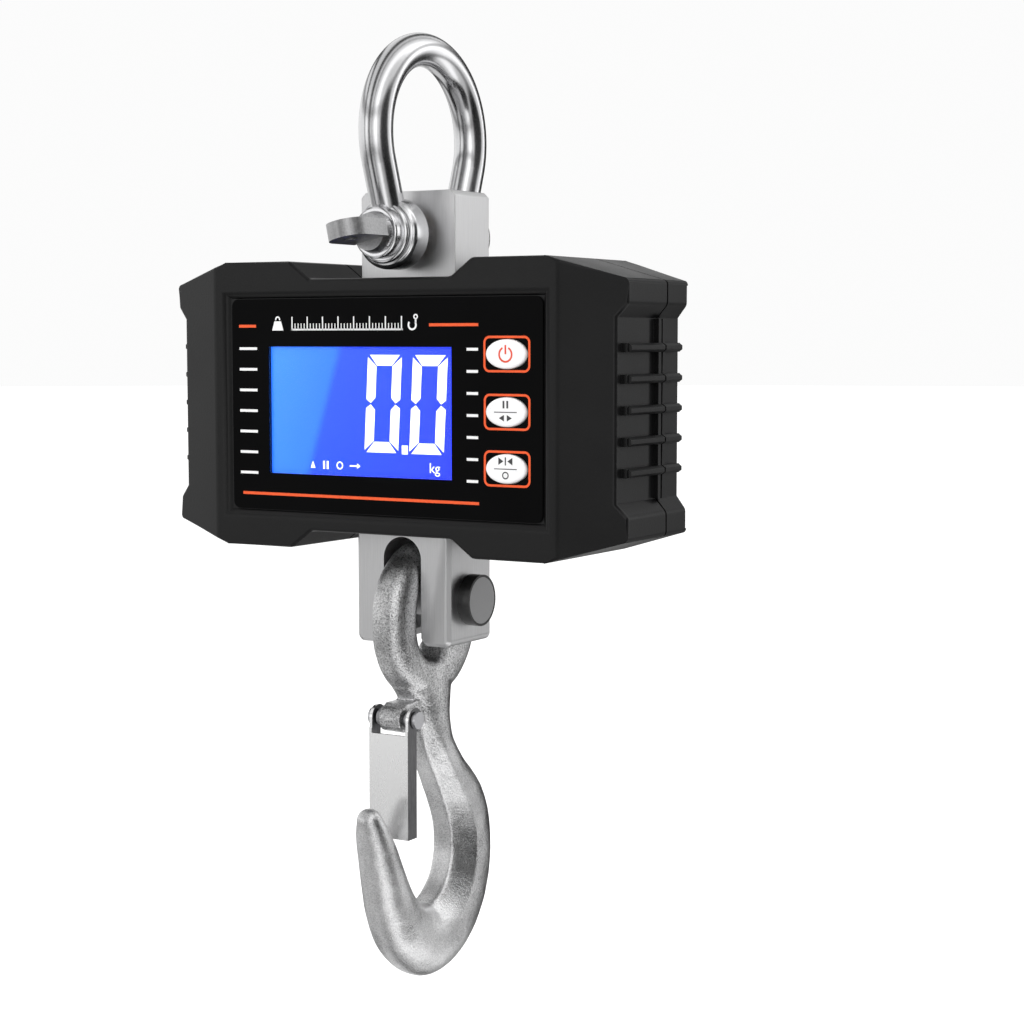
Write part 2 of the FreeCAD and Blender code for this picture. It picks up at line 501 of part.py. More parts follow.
# the eye: an oval ring in the YZ plane, its top bar over the pin
EYE_IN = 11.3
EYE_BAR = 12.7
EYE_TOP = LP_Z + LP_D / 2 + 0.06
eye_r = EYE_IN + EYE_BAR / 2
eye_z1 = EYE_TOP - EYE_IN
eye_z0 = eye_z1 - 3.4
ea = Part.Arc(V(0, -eye_r, eye_z1), V(0, 0, eye_z1 + eye_r), V(0, eye_r, eye_z1)).toShape()
eb = Part.LineSegment(V(0, eye_r, eye_z1), V(0, eye_r, eye_z0)).toShape()
ec = Part.Arc(V(0, eye_r, eye_z0), V(0, 0, eye_z0 - eye_r), V(0, -eye_r, eye_z0)).toShape()
ed = Part.LineSegment(V(0, -eye_r, eye_z0), V(0, -eye_r, eye_z1)).toShape()
eye = Part.Wire([ea, eb, ec, ed]).makePipeShell([Part.Wire([Part.Circle(V(0, -eye_r, eye_z1), V(0, 0, 1), EYE_BAR / 2).toShape()])], True, True)
hook = hook.fuse([tip, eye])
# the boss that carries the latch rivet
boss = cyl_x(4.6, -4.2, 4.2, LAT_Y, LAT_Z).fuse(prism_x([(LAT_Y, LAT_Z - 4.2), (LAT_Y, LAT_Z + 4.2), (-2.0, LAT_Z + 7.0), (-2.0, LAT_Z - 4.0)], -4.2, 4.2))
hook = hook.fuse(boss).removeSplitter()
hook = hook.cut(cyl_x(1.65, -10, 10, LAT_Y, LAT_Z))
add("hook", hook)
rivet = cyl_x(1.6, -8.0, 8.0, LAT_Y, LAT_Z).fuse([cyl_x(2.7, 7.6, 8.8, LAT_Y, LAT_Z), cyl_x(2.7, -8.8, -7.6, LAT_Y, LAT_Z)]).removeSplitter()
add("latch_rivet", rivet)

# ---------------------------------------------------------------- latch
# a pressed channel: a face plate with two side flanges that end in ears
LW = 7.3
T = 1.0
face = box(-LW + 0.6, LW - 0.6, -T, 0, -LAT_L, -4.6)
sides = []
for s in (-1, 1):
    x0, x1 = sorted((s * (LW - T), s * LW))
    sides.append(box(x0, x1, -T, 4.0, -LAT_L, -3.0))
    sides.append(cyl_x(3.9, x0, x1, 3.2, 0).fuse(box(x0, x1, -0.7, 4.0, -5.0, 0)))
latch = face.fuse(sides).removeSplitter()
latch = latch.cut(cyl_x(1.68, -10, 10, 3.2, 0))
latch.translate(V(0, LAT_Y - 3.2, LAT_Z))
add("latch", latch)
coil = []
for s in (-1, 1):
    x0, x1 = sorted((s * 4.5, s * 6.1))
    coil.append(cyl_x(3.0, x0, x1, LAT_Y, LAT_Z).cut(cyl_x(1.75, x0 - 1, x1 + 1, LAT_Y, LAT_Z)))
add("latch_spring", Part.makeCompound(coil))

# ---------------------------------------------------------------- export
for name, shape in parts.items():
    s = shape.copy()
    s.translate(V(0, -TOP_Y, -CROWN))
    s.exportStep("parts/" + name + ".step")
    bb_ = s.optimalBoundingBox(False)
    print("%-18s solids %d valid %s vol %9.1f  x %.1f..%.1f y %.1f..%.1f z %.1f..%.1f" % (
        name, len(s.Solids), s.isValid(), s.Volume, bb_.XMin, bb_.XMax, bb_.YMin, bb_.YMax, bb_.ZMin, bb_.ZMax))
print("crown z in the housing frame: %.3f" % CROWN)
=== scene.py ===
import bpy, bmesh, json, math
from mathutils import Vector, Matrix, noise


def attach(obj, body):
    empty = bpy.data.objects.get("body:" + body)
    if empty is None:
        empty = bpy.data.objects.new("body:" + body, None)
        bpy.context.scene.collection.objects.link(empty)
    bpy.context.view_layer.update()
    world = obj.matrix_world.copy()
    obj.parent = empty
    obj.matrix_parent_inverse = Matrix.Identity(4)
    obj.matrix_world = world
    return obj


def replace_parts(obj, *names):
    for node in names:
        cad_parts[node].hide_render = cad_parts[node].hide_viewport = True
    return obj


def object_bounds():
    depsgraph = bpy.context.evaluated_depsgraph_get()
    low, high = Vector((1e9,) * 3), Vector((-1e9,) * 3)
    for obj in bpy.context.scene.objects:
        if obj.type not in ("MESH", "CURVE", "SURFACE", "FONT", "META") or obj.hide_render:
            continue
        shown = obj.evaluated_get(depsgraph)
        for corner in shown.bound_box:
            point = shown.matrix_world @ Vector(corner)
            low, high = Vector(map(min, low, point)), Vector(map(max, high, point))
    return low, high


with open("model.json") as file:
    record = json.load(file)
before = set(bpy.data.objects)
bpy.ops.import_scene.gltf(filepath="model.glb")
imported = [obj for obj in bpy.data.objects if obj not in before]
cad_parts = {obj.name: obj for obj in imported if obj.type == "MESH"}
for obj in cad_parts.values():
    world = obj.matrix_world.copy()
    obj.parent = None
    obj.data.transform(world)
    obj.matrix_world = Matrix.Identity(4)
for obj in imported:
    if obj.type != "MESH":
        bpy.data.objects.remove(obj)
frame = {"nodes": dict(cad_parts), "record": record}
NODES = frame["nodes"]
cad_lo, cad_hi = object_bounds()

MM = 0.001
OY, OZ = 1.3, 105.45          # the origin's place in the housing frame, mm
scene = bpy.context.scene


def P(x, y, z):
    """A point of the housing frame in mm, as a point of the row frame in metres."""
    return Vector((x * MM, (y - OY) * MM, (z - OZ) * MM))


# ------------------------------------------------------------------ node helpers
def new_mat(name):
    m = bpy.data.materials.new(name)
    m.use_nodes = True
    nt = m.node_tree
    nt.nodes.clear()
    out = nt.nodes.new("ShaderNodeOutputMaterial")
    bsdf = nt.nodes.new("ShaderNodeBsdfPrincipled")
    nt.links.new(bsdf.outputs[0], out.inputs[0])
    tc = nt.nodes.new("ShaderNodeTexCoord")
    return m, nt, bsdf, tc.outputs["Object"]


def mapping(nt, src, scale=(1, 1, 1), rot=(0, 0, 0)):
    n = nt.nodes.new("ShaderNodeMapping")
    n.inputs["Scale"].default_value = scale
    n.inputs["Rotation"].default_value = rot
    nt.links.new(src, n.inputs[0])
    return n.outputs[0]


def noise_tex(nt, vec, scale, detail=4.0, rough=0.55):
    n = nt.nodes.new("ShaderNodeTexNoise")
    n.inputs["Scale"].default_value = scale
    n.inputs["Detail"].default_value = detail
    n.inputs["Roughness"].default_value = rough
    nt.links.new(vec, n.inputs["Vector"])
    return n.outputs[0]


def voronoi(nt, vec, scale, feature="F1"):
    n = nt.nodes.new("ShaderNodeTexVoronoi")
    n.feature = feature
    n.inputs["Scale"].default_value = scale
    nt.links.new(vec, n.inputs["Vector"])
    return n.outputs[0]


def ramp(nt, fac, stops):
    n = nt.nodes.new("ShaderNodeValToRGB")
    r = n.color_ramp
    while len(r.elements) < len(stops):
        r.elements.new(0.5)
    for e, (p, c) in zip(r.elements, stops):
        e.position = p
        e.color = (*c, 1.0) if isinstance(c, tuple) else (c, c, c, 1.0)
    nt.links.new(fac, n.inputs[0])
    return n.outputs[0]


def remap(nt, fac, lo, hi, a=0.3, b=0.7):
    n = nt.nodes.new("ShaderNodeMapRange")
    n.inputs["From Min"].default_value = a
    n.inputs["From Max"].default_value = b
    n.inputs["To Min"].default_value = lo
    n.inputs["To Max"].default_value = hi
    nt.links.new(fac, n.inputs[0])
    return n.outputs[0]


def math_node(nt, op, a, b):
    n = nt.nodes.new("ShaderNodeMath")
    n.operation = op
    for i, v in enumerate((a, b)):
        if isinstance(v, (int, float)):
            n.inputs[i].default_value = v
        else:
            nt.links.new(v, n.inputs[i])
    return n.outputs[0]


def bump(nt, bsdf, height, strength, dist, normal=None):
    n = nt.nodes.new("ShaderNodeBump")
    n.inputs["Strength"].default_value = strength
    n.inputs["Distance"].default_value = dist
    nt.links.new(height, n.inputs["Height"])
    if normal is not None:
        nt.links.new(normal, n.inputs["Normal"])
    nt.links.new(n.outputs[0], bsdf.inputs["Normal"])
    return n.outputs[0]


def setv(bsdf, **kw):
    for k, v in kw.items():
        bsdf.inputs[k.replace("_", " ")].default_value = v


# ------------------------------------------------------------------ materials
def plastic(name, dark, light, r0, r1, grain=2600.0, depth=0.00006, strength=0.35, spec=0.5):
    m, nt, b, oc = new_mat(name)
    b.inputs["Specular IOR Level"].default_value = spec
    big = noise_tex(nt, oc, 38.0, 3.0)
    nt.links.new(ramp(nt, big, [(0.3, dark), (0.72, light)]), b.inputs["Base Color"])
    fine = noise_tex(nt, oc, grain, 2.0)
    mix = math_node(nt, "ADD", math_node(nt, "MULTIPLY", big, 0.6), math_node(nt, "MULTIPLY", fine, 0.4))
    nt.links.new(remap(nt, mix, r0, r1), b.inputs["Roughness"])
    bump(nt, b, voronoi(nt, oc, grain * 0.8, "SMOOTH_F1"), strength, depth)
    return m


def brushed(name, dark, light, r0, r1, along=(1, 1, 0.02), scale=2600.0, strength=0.25, depth=0.00004, metal=1.0, aniso=0.0):
    m, nt, b, oc = new_mat(name)
    st = noise_tex(nt, mapping(nt, oc, along), scale, 3.0, 0.6)
    big = noise_tex(nt, oc, 55.0, 3.0)
    mix = math_node(nt, "ADD", math_node(nt, "MULTIPLY", st, 0.62), math_node(nt, "MULTIPLY", big, 0.38))
    nt.links.new(ramp(nt, mix, [(0.32, dark), (0.68, light)]), b.inputs["Base Color"])
    nt.links.new(remap(nt, mix, r0, r1), b.inputs["Roughness"])
    setv(b, Metallic=metal, Anisotropic=aniso)
    bump(nt, b, st, strength, depth)
    return m


M = {}
M["housing"] = plastic("housing_abs", (0.0036, 0.0036, 0.0038), (0.0060, 0.0060, 0.0062), 0.30, 0.43, grain=2300.0, depth=0.00005, strength=0.3, spec=0.26)
M["black_trim"] = plastic("black_trim", (0.010, 0.010, 0.010), (0.015, 0.015, 0.015), 0.28, 0.40, grain=3200.0)
M["seal"] = plastic("seal_rubber", (0.010, 0.010, 0.010), (0.016, 0.016, 0.016), 0.62, 0.78)
M["lead"] = plastic("lead_pvc", (0.03, 0.03, 0.03), (0.05, 0.05, 0.05), 0.42, 0.52)
M["white_plastic"] = plastic("white_plastic", (0.68, 0.68, 0.67), (0.75, 0.75, 0.74), 0.40, 0.5)
M["key"] = plastic("key_white", (0.88, 0.88, 0.88), (0.93, 0.93, 0.93), 0.26, 0.34, grain=1800.0, depth=0.00002, strength=0.15)
M["overlay"] = plastic("overlay_black", (0.0010, 0.0010, 0.0011), (0.0018, 0.0018, 0.0020), 0.13, 0.19, grain=900.0, depth=0.000006, strength=0.12, spec=0.03)
M["cell_wrap"] = plastic("cell_wrap", (0.02, 0.10, 0.28), (0.03, 0.14, 0.36), 0.25, 0.35)
M["board"] = plastic("board_green", (0.012, 0.10, 0.035), (0.02, 0.16, 0.05), 0.35, 0.5)
M["block"] = brushed("block_aluminium", (0.66, 0.66, 0.665), (0.77, 0.77, 0.775), 0.34, 0.46, along=(1, 1, 0.03))
M["fork"] = brushed("fork_aluminium", (0.54, 0.54, 0.545), (0.65, 0.65, 0.655), 0.32, 0.44, along=(1, 1, 0.03))
M["steel"] = brushed("turned_steel", (0.40, 0.40, 0.41), (0.52, 0.52, 0.53), 0.25, 0.40, along=(1, 1, 1), scale=1500.0)
M["pin_face"] = brushed("pin_face_steel", (0.40, 0.40, 0.405), (0.47, 0.47, 0.475), 0.50, 0.62, along=(1, 1, 1), scale=2600.0, strength=0.3)
M["zinc"] = brushed("zinc_plated", (0.52, 0.52, 0.54), (0.64, 0.64, 0.66), 0.25, 0.38, along=(1, 1, 1), scale=1200.0)
M["screw"] = brushed("black_zinc", (0.10, 0.10, 0.105), (0.17, 0.17, 0.175), 0.30, 0.42, along=(1, 1, 1), scale=1800.0)
M["bronze"] = brushed("sintered_bronze", (0.42, 0.25, 0.10), (0.52, 0.33, 0.14), 0.35, 0.5, along=(1, 1, 1), scale=1800.0)
M["latch_steel"] = brushed("latch_zinc", (0.90, 0.90, 0.90), (0.95, 0.95, 0.95), 0.22, 0.30, along=(1, 1, 0.25), scale=700.0, strength=0.12, depth=0.00002)

# a darker copy of the latch zinc: painted shade for the latch's side faces
M["latch_side"] = brushed("latch_zinc_side_shade", (0.12, 0.12, 0.125), (0.22, 0.22, 0.225), 0.30, 0.42, along=(1, 1, 0.2), scale=1400.0, strength=0.3, depth=0.00005)


def polished():
    m, nt, b, oc = new_mat("polished_steel")
    big = noise_tex(nt, oc, 60.0, 3.0)
    fine = noise_tex(nt, oc, 1500.0, 3.0)
    mix = math_node(nt, "ADD", math_node(nt, "MULTIPLY", big, 0.6), math_node(nt, "MULTIPLY", fine, 0.4))
    nt.links.new(ramp(nt, mix, [(0.3, (0.60, 0.60, 0.61)), (0.7, (0.70, 0.70, 0.71))]), b.inputs["Base Color"])
    nt.links.new(remap(nt, mix, 0.17, 0.25), b.inputs["Roughness"])
    setv(b, Metallic=1.0)
    bump(nt, b, fine, 0.06, 0.00003)
    return m


M["polished"] = polished()


def forged(name, lo, hi, r0, r1, grain, strength, depth, painted_shade=0.0):
    """Hot forged, galvanised steel: a fine crystalline speckle on soft lumps, with an optional painted shade of dark
    speckle round the neck and eye.
    """
    m, nt, b, oc = new_mat(name)
    sp = voronoi(nt, oc, grain)
    fine = noise_tex(nt, oc, grain * 1.3, 3.0, 0.7)
    big = noise_tex(nt, oc, 70.0, 4.0)
    mix = math_node(nt, "ADD", math_node(nt, "MULTIPLY", fine, 0.55), math_node(nt, "MULTIPLY", big, 0.45))
    # painted shade: a dark speckle, the same on every side and denser round the neck and eye, darkens the colour there
    spk = math_node(nt, "MULTIPLY", math_node(nt, "SUBTRACT", noise_tex(nt, oc, grain * 1.0, 3.0, 0.85), 0.5), 1.7)
    pos = nt.nodes.new("ShaderNodeSeparateXYZ")
    nt.links.new(oc, pos.inputs[0])
    neck = remap(nt, pos.outputs["Z"], -0.16, 0.06, -0.226, -0.206)
    edge = math_node(nt, "ADD", neck, spk)
    shade_mask = remap(nt, edge, 0.0, 1.0, 0.02, 0.50)
    shade_mask = math_node(nt, "MULTIPLY", shade_mask, painted_shade)
    keep = math_node(nt, "SUBTRACT", 1.0, shade_mask)
    tone = math_node(nt, "MULTIPLY", mix, keep)
    nt.links.new(ramp(nt, tone, [(0.06, (0.03, 0.03, 0.032)), (0.38, lo), (0.60, hi)]), b.inputs["Base Color"])
    nt.links.new(remap(nt, mix, r0, r1, 0.35, 0.65), b.inputs["Roughness"])
    setv(b, Metallic=1.0)
    h = math_node(nt, "ADD", math_node(nt, "MULTIPLY", sp, 0.5), math_node(nt, "MULTIPLY", fine, 0.8))
    h = math_node(nt, "ADD", h, math_node(nt, "MULTIPLY", noise_tex(nt, oc, 420.0, 3.0), 0.7))
    bump(nt, b, h, strength, depth)
    return m


# the hook's colour carries painted shade: a dark speckle round its neck and eye
M["hook_steel"] = forged("hook_galvanised", (0.50, 0.50, 0.505), (0.92, 0.92, 0.925), 0.26, 0.39, 1700.0, 0.66, 0.00018, painted_shade=1.0)
M["tab_steel"] = forged("tab_forged", (0.30, 0.30, 0.305), (0.46, 0.46, 0.465), 0.30, 0.42, 1300.0, 0.35, 0.00010)


def printed(name, c0, c1, rough):
    m, nt, b, oc = new_mat(name)
    n = noise_tex(nt, oc, 900.0, 2.0)
    nt.links.new(ramp(nt, n, [(0.3, c0), (0.7, c1)]), b.inputs["Base Color"])
    nt.links.new(remap(nt, n, rough, rough + 0.1), b.inputs["Roughness"])
    return m


M["ink_white"] = printed("ink_white", (0.84, 0.84, 0.84), (0.90, 0.90, 0.90), 0.35)
M["ink_orange"] = printed("ink_orange", (0.80, 0.085, 0.012), (0.88, 0.105, 0.018), 0.35)
M["ink_red"] = printed("ink_red", (0.72, 0.06, 0.02), (0.80, 0.08, 0.03), 0.35)
M["ink_grey"] = printed("ink_grey", (0.035, 0.035, 0.037), (0.05, 0.05, 0.052), 0.4)


def lcd_blue():
    m, nt, b, oc = new_mat("lcd_backlit_painted_glare")
    # painted reflection: a glare, brighter at the left, deeper towards the right, with a soft slanting edge
    sep = nt.nodes.new("ShaderNodeSeparateXYZ")
    nt.links.new(oc, sep.inputs[0])
    v = math_node(nt, "ADD", math_node(nt, "MULTIPLY", sep.outputs[0], 1000.0), math_node(nt, "MULTIPLY", sep.outputs[2], -310.0))
    c = ramp(nt, remap(nt, v, 0.0, 1.0, -12.0, 68.0), [(0.0, (0.022, 0.165, 0.95)), (0.27, (0.012, 0.125, 0.98)), (0.305, (0.004, 0.050, 0.95)), (1.0, (0.003, 0.020, 0.80))])
    n = noise_tex(nt, oc, 5000.0, 1.0)
    nt.links.new(c, b.inputs["Base Color"])
    nt.links.new(c, b.inputs["Emission Color"])
    b.inputs["Emission Strength"].default_value = 0.92
    nt.links.new(remap(nt, n, 0.3, 0.4), b.inputs["Roughness"])
    return m


M["lcd"] = lcd_blue()


def lcd_white():
    m, nt, b, oc = new_mat("lcd_figures")
    n = noise_tex(nt, oc, 400.0, 2.0)
    c = ramp(nt, n, [(0.3, (0.80, 0.84, 0.97)), (0.7, (0.88, 0.91, 1.0))])
    nt.links.new(c, b.inputs["Base Color"])
    nt.links.new(c, b.inputs["Emission Color"])
    b.inputs["Emission Strength"].default_value = 0.85
    b.inputs["Roughness"].default_value = 0.4
    return m


M["lcd_white"] = lcd_white()


def clear():
    m, nt, b, oc = new_mat("window_clear")
    n = noise_tex(nt, oc, 120.0, 2.0)
    nt.links.new(ramp(nt, n, [(0.3, (0.97, 0.98, 1.0)), (0.7, (1.0, 1.0, 1.0))]), b.inputs["Base Color"])
    nt.links.new(remap(nt, n, 0.02, 0.06), b.inputs["Roughness"])
    b.inputs["Transmission Weight"].default_value = 1.0
    b.inputs["IOR"].default_value = 1.10
    return m


M["window"] = clear()


def paint(ob, mat):
    ob.data.materials.clear()
    ob.data.materials.append(mat)
    return ob


for s in frame["record"]["subparts"]:
    paint(NODES[s["node"]], M[s["material_slot"]])
paint(NODES["hook_pin"], M["pin_face"])


# ------------------------------------------------------------------ mesh helpers
def finish_mesh(name, bm, mat, body, smooth=30.0, weighted=True):
    me = bpy.data.meshes.new(name)
    bm.normal_update()
    bm.to_mesh(me)
    bm.free()
    for a in ("custom_normal", "sharp_face"):
        if a in me.attributes:
            me.attributes.remove(me.attributes[a])
    ob = bpy.data.objects.new(name, me)
    scene.collection.objects.link(ob)
    me.shade_smooth()
    me.set_sharp_from_angle(angle=math.radians(smooth))
    if weighted:
        w = ob.modifiers.new("wn", "WEIGHTED_NORMAL")
        w.keep_sharp = True
        w.weight = 60
    if mat:
        paint(ob, mat)
    if body:
        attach(ob, body)
    return ob


def seg_dist(px, py, ax, ay, bx, by):
    dx, dy = bx - ax, by - ay
    t = max(0.0, min(1.0, ((px - ax) * dx + (py - ay) * dy) / (dx * dx + dy * dy)))
    return math.hypot(px - ax - t * dx, py - ay - t * dy)


def poly_dist(px, py, pts):
    return min(seg_dist(px, py, *pts[i - 1], *pts[i]) for i in range(len(pts)))


def from_node(node, dissolve=0.6):
    bm = bmesh.new()
    bm.from_mesh(NODES[node].data)
    bmesh.ops.remove_doubles(bm, verts=bm.verts, dist=2e-6)
    bmesh.ops.dissolve_limit(bm, angle_limit=math.radians(dissolve), use_dissolve_boundaries=False, verts=bm.verts, edges=bm.edges)
    return bm


def bevel_edges(bm, width, pick, min_angle=24.0, segments=3, clamp=False):
    edges = []
    for e in bm.edges:
        if len(e.link_faces) != 2:
            continue
        if e.calc_face_angle(0.0) < math.radians(min_angle):
            continue
        if pick(e):
            edges.append(e)
    if edges:
        bmesh.ops.bevel(bm, geom=edges, offset=width, offset_type="OFFSET", segments=segments, profile=0.5, affect="EDGES", clamp_overlap=clamp, loop_slide=True)
    return len(edges)


# ------------------------------------------------------------------ housing
HB, HA, HC, HF, HS, HH, HE, HN, NO_, NI_ = 83.1, 58.7, 63.1, 25.4, 19.3, 45.0, 38.0, 39.4, 33.5, 25.9
OUT_XZ = [(NI_, HN), (NO_, HH), (HA, HH), (HB, HE), (HB, -HE), (HA, -HH), (NO_, -HH), (NI_, -HN), (-NI_, -HN), (-NO_, -HH), (-HA, -HH), (-HB, -HE), (-HB, HE), (-HA, HH), (-NO_, HH), (-NI_, HN)]
OUT_XY = [(-HB, -HS), (-HC, -HF), (HC, -HF), (HB, -HS), (HB, HS), (HC, HF), (-HC, HF), (-HB, HS)]


def mmc(v):
    return v.co.x * 1000, v.co.y * 1000 + OY, v.co.z * 1000 + OZ


def on_outer(v, tol=0.12):
    x, y, z = mmc(v)
    d1 = poly_dist(x, z, OUT_XZ)
    d2 = poly_dist(x, y, OUT_XY)
    return d1 < tol or d2 < tol


def outer_edge(e):
    a, b = e.verts
    if not (on_outer(a) and on_outer(b)):
        return False
    xa, ya, za = mmc(a)
    xb, yb, zb = mmc(b)
    if e.calc_length() < 2.2 * MM:
        return False
    # not the parting plane, not the slots of the load blocks, not holes in the faces
    if abs(ya - yb) < 0.01 and abs(ya - 5.5) < 0.6:
        return False
    if max(abs(xa), abs(xb)) < 19.0:
        return False
    if ya > 25.2 and yb > 25.2 and max(abs(xa), abs(xb)) < 62.5 and max(abs(za), abs(zb)) < 36:
        return False
    return True


def small_edge(e):
    a, b = e.verts
    xa, ya, za = mmc(a)
    xb, yb, zb = mmc(b)
    rib = min(abs(xa), abs(xb)) > 79.3 and max(abs(za), abs(zb)) < 31.5
    return rib and e.calc_length() > 1.5 * MM


for node, name in (("front_shell", "shell_front"), ("rear_shell", "shell_rear")):
    bm = from_node(node)
    n1 = bevel_edges(bm, 0.95 * MM, outer_edge, 16.0, 3)
    n2 = bevel_edges(bm, 0.28 * MM, small_edge, 24.0, 2, clamp=True)
    print(name, "bevelled", n1, n2)
    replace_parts(finish_mesh(name, bm, M["housing"], "scale_body", 35.0), node)

# ------------------------------------------------------------------ load blocks
for node, name, w in (("upper_block", "block_upper", 0.35), ("lower_fork", "fork_lower", 0.30)):
    bm = from_node(node)
    bevel_edges(bm, w * MM, lambda e: e.calc_length() > 1.2 * MM, 25.0, 2, clamp=True)
    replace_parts(finish_mesh(name, bm, M["block" if node == "upper_block" else "fork"], "scale_body", 35.0), node)

# ------------------------------------------------------------------ panel graphics
Y_OV = -24.4          # front of the overlay
Y_LCD = -22.85        # front of the display glass
PAR = 0.89            # the figures lie deeper than the overlay


def flat_piece(name, polys, y_front, y_back, mat, body="scale_body"):
    """Flat figures in the XZ plane, each polygon drawn as a thin plate."""
    bm = bmesh.new()
    for pts in polys:
        a = sum(pts[i - 1][0] * pts[i][1] - pts[i][0] * pts[i - 1][1] for i in range(len(pts)))
        if a < 0:
            pts = pts[::-1]
        f = [bm.verts.new(P(x, y_front, z)) for x, z in pts]
        r = [bm.verts.new(P(x, y_back, z)) for x, z in pts]
        bm.faces.new(f)
        bm.faces.new(r[::-1])
        n = len(pts)
        for i in range(n):
            bm.faces.new((f[i], r[i], r[(i + 1) % n], f[(i + 1) % n]))
    bmesh.ops.recalc_face_normals(bm, faces=bm.faces)
    return finish_mesh(name, bm, mat, body, 30.0, weighted=False)


def rect(x0, x1, z0, z1):
    return [(x0, z0), (x1, z0), (x1, z1), (x0, z1)]


def disc(cx, cz, r, n=28):
    return [(cx + r * math.cos(2 * math.pi * i / n), cz + r * math.sin(2 * math.pi * i / n)) for i in range(n)]


def arc_band(cx, cz, r, w, a0, a1, n=30):
    """Quads along an arc, angles in degrees."""
    out = []
    for i in range(n):
        t0 = math.radians(a0 + (a1 - a0) * i / n)
        t1 = math.radians(a0 + (a1 - a0) * (i + 1) / n)
        q = [(cx + (r - w / 2) * math.cos(t0), cz + (r - w / 2) * math.sin(t0)), (cx + (r + w / 2) * math.cos(t0), cz + (r + w / 2) * math.sin(t0)),
             (cx + (r + w / 2) * math.cos(t1), cz + (r + w / 2) * math.sin(t1)), (cx + (r - w / 2) * math.cos(t1), cz + (r - w / 2) * math.sin(t1))]
        out.append(q)
    return out


def frame_band(x0, x1, z0, z1, r, w):
    out = [rect(x0 + r, x1 - r, z0, z0 + w), rect(x0 + r, x1 - r, z1 - w, z1), rect(x0, x0 + w, z0 + r, z1 - r), rect(x1 - w, x1, z0 + r, z1 - r)]
    for cx, cz, a in ((x1 - r, z1 - r, 0), (x0 + r, z1 - r, 90), (x0 + r, z0 + r, 180), (x1 - r, z0 + r, 270)):
        out += arc_band(cx, cz, r - w / 2, w, a, a + 90, 8)
    return out


def rotated(polys, cx, cz, deg):
    c, s = math.cos(math.radians(deg)), math.sin(math.radians(deg))
    return [[(cx + (x - cx) * c - (z - cz) * s, cz + (x - cx) * s + (z - cz) * c) for x, z in p] for p in polys]


INK = 0.05
orange = [rect(-54.2, -47.4, 24.35, 25.25), rect(18.1, 35.5, 24.55, 25.45), rect(-53.2, 35.7, -28.75, -27.85)]
for x0, x1, z0, z1 in ((37.3, 53.4, 10.9, 21.7), (37.4, 53.45, -6.2, 4.6), (37.4, 53.5, -23.0, -12.2)):
    orange += frame_band(x0, x1, z0, z1, 2.0, 0.7)
flat_piece("print_orange", orange, Y_OV - INK, Y_OV, M["ink_orange"])
white = []
for i in range(7):
    z = 17.7 - i * 6.57
    white.append(rect(-54.1, -47.1, z - 0.42, z + 0.42))
    white.append(rect(31.4, 35.4, z - 0.42, z + 0.42))
# a plain graduated rule stands where a title would be
white.append(rect(-33.5, 8.6, 23.4, 23.95))
for i in range(36):
    x = -33.2 + i * 1.18
    h = 4.3 if i % 5 == 0 else 2.2
    w = 0.42 if i % 5 == 0 else 0.3
    white.append(rect(x - w / 2, x + w / 2, 23.4, 23.4 + h))
# a plain weight symbol on its left and a plain hook symbol on its right
white += [[(-41.0, 23.4), (-36.6, 23.4), (-37.5, 26.3), (-40.1, 26.3)]] + arc_band(-38.8, 26.9, 0.75, 0.45, -20, 200, 14)
white += arc_band(12.0, 25.0, 1.35, 0.6, 140, 400, 22) + [rect(12.95, 13.55, 25.6, 26.9)] + arc_band(13.25, 27.5, 0.62, 0.42, 0, 360, 18)
flat_piece("print_white", white, Y_OV - INK, Y_OV, M["ink_white"])

# display figures
LEAN = math.tan(math.radians(3.0))


def seven(x0, x1, z0, z1, t=3.3, g=0.22, off=()):
    zm = (z0 + z1) / 2
    h = t / 2
    segs = {}

    def hor(za, zb, mid=False):
        if mid:
            return [(x0 + h + g, zm), (x0 + t + g, zm + h), (x1 - t - g, zm + h), (x1 - h - g, zm), (x1 - t - g, zm - h), (x0 + t + g, zm - h)]
        top = zb > zm
        if top:
            return [(x0 + g + 0.5, zb), (x1 - g - 0.5, zb), (x1 - t - g, za), (x0 + t + g, za)]
        return [(x0 + t + g, zb), (x1 - t - g, zb), (x1 - g - 0.5, za), (x0 + g + 0.5, za)]

    segs["a"] = hor(z1 - t, z1)
    segs["d"] = hor(z0, z0 + t)
    segs["f"] = [(x0, z1 - g - 0.5), (x0 + t, z1 - t - g), (x0 + t, zm + h + g), (x0 + h, zm + g), (x0, zm + h * 0.7 + g)]
    segs["e"] = [(x0, z0 + g + 0.5), (x0 + t, z0 + t + g), (x0 + t, zm - h - g), (x0 + h, zm - g), (x0, zm - h * 0.7 - g)]
    segs["b"] = [(x1, z1 - g - 0.5), (x1 - t, z1 - t - g), (x1 - t, zm + h + g), (x1 - h, zm + g), (x1, zm + h * 0.7 + g)]
    segs["c"] = [(x1, z0 + g + 0.5), (x1 - t, z0 + t + g), (x1 - t, zm - h - g), (x1 - h, zm - g), (x1, zm - h * 0.7 - g)]
    return [[(x + LEAN * (z - z0), z) for x, z in p] for k, p in segs.items() if k not in off]


figs = seven(-5.9 - PAR, 7.8 - PAR - 1.2, -14.1, 15.9) + seven(10.7 - PAR, 24.4 - PAR - 1.2, -14.2, 15.9)
figs += [rect(8.0 - PAR, 10.2 - PAR, -14.4, -11.7)]
# small signs: stable, held, zero and the unit
figs += [[(-27.4, -19.6), (-25.6, -19.6), (-26.5, -17.4)]]
figs += [rect(-22.6, -21.9, -19.8, -17.3), rect(-21.2, -20.5, -19.8, -17.3)]
figs += arc_band(-16.2, -18.55, 1.05, 0.42, 0, 360, 26)
figs += [rect(-12.4, -9.4, -18.8, -18.35), [(-9.6, -19.4), (-8.4, -18.57), (-9.6, -17.75)]]
flat_piece("lcd_figures", figs, Y_LCD - 0.06, Y_LCD - 0.01, M["lcd_white"])


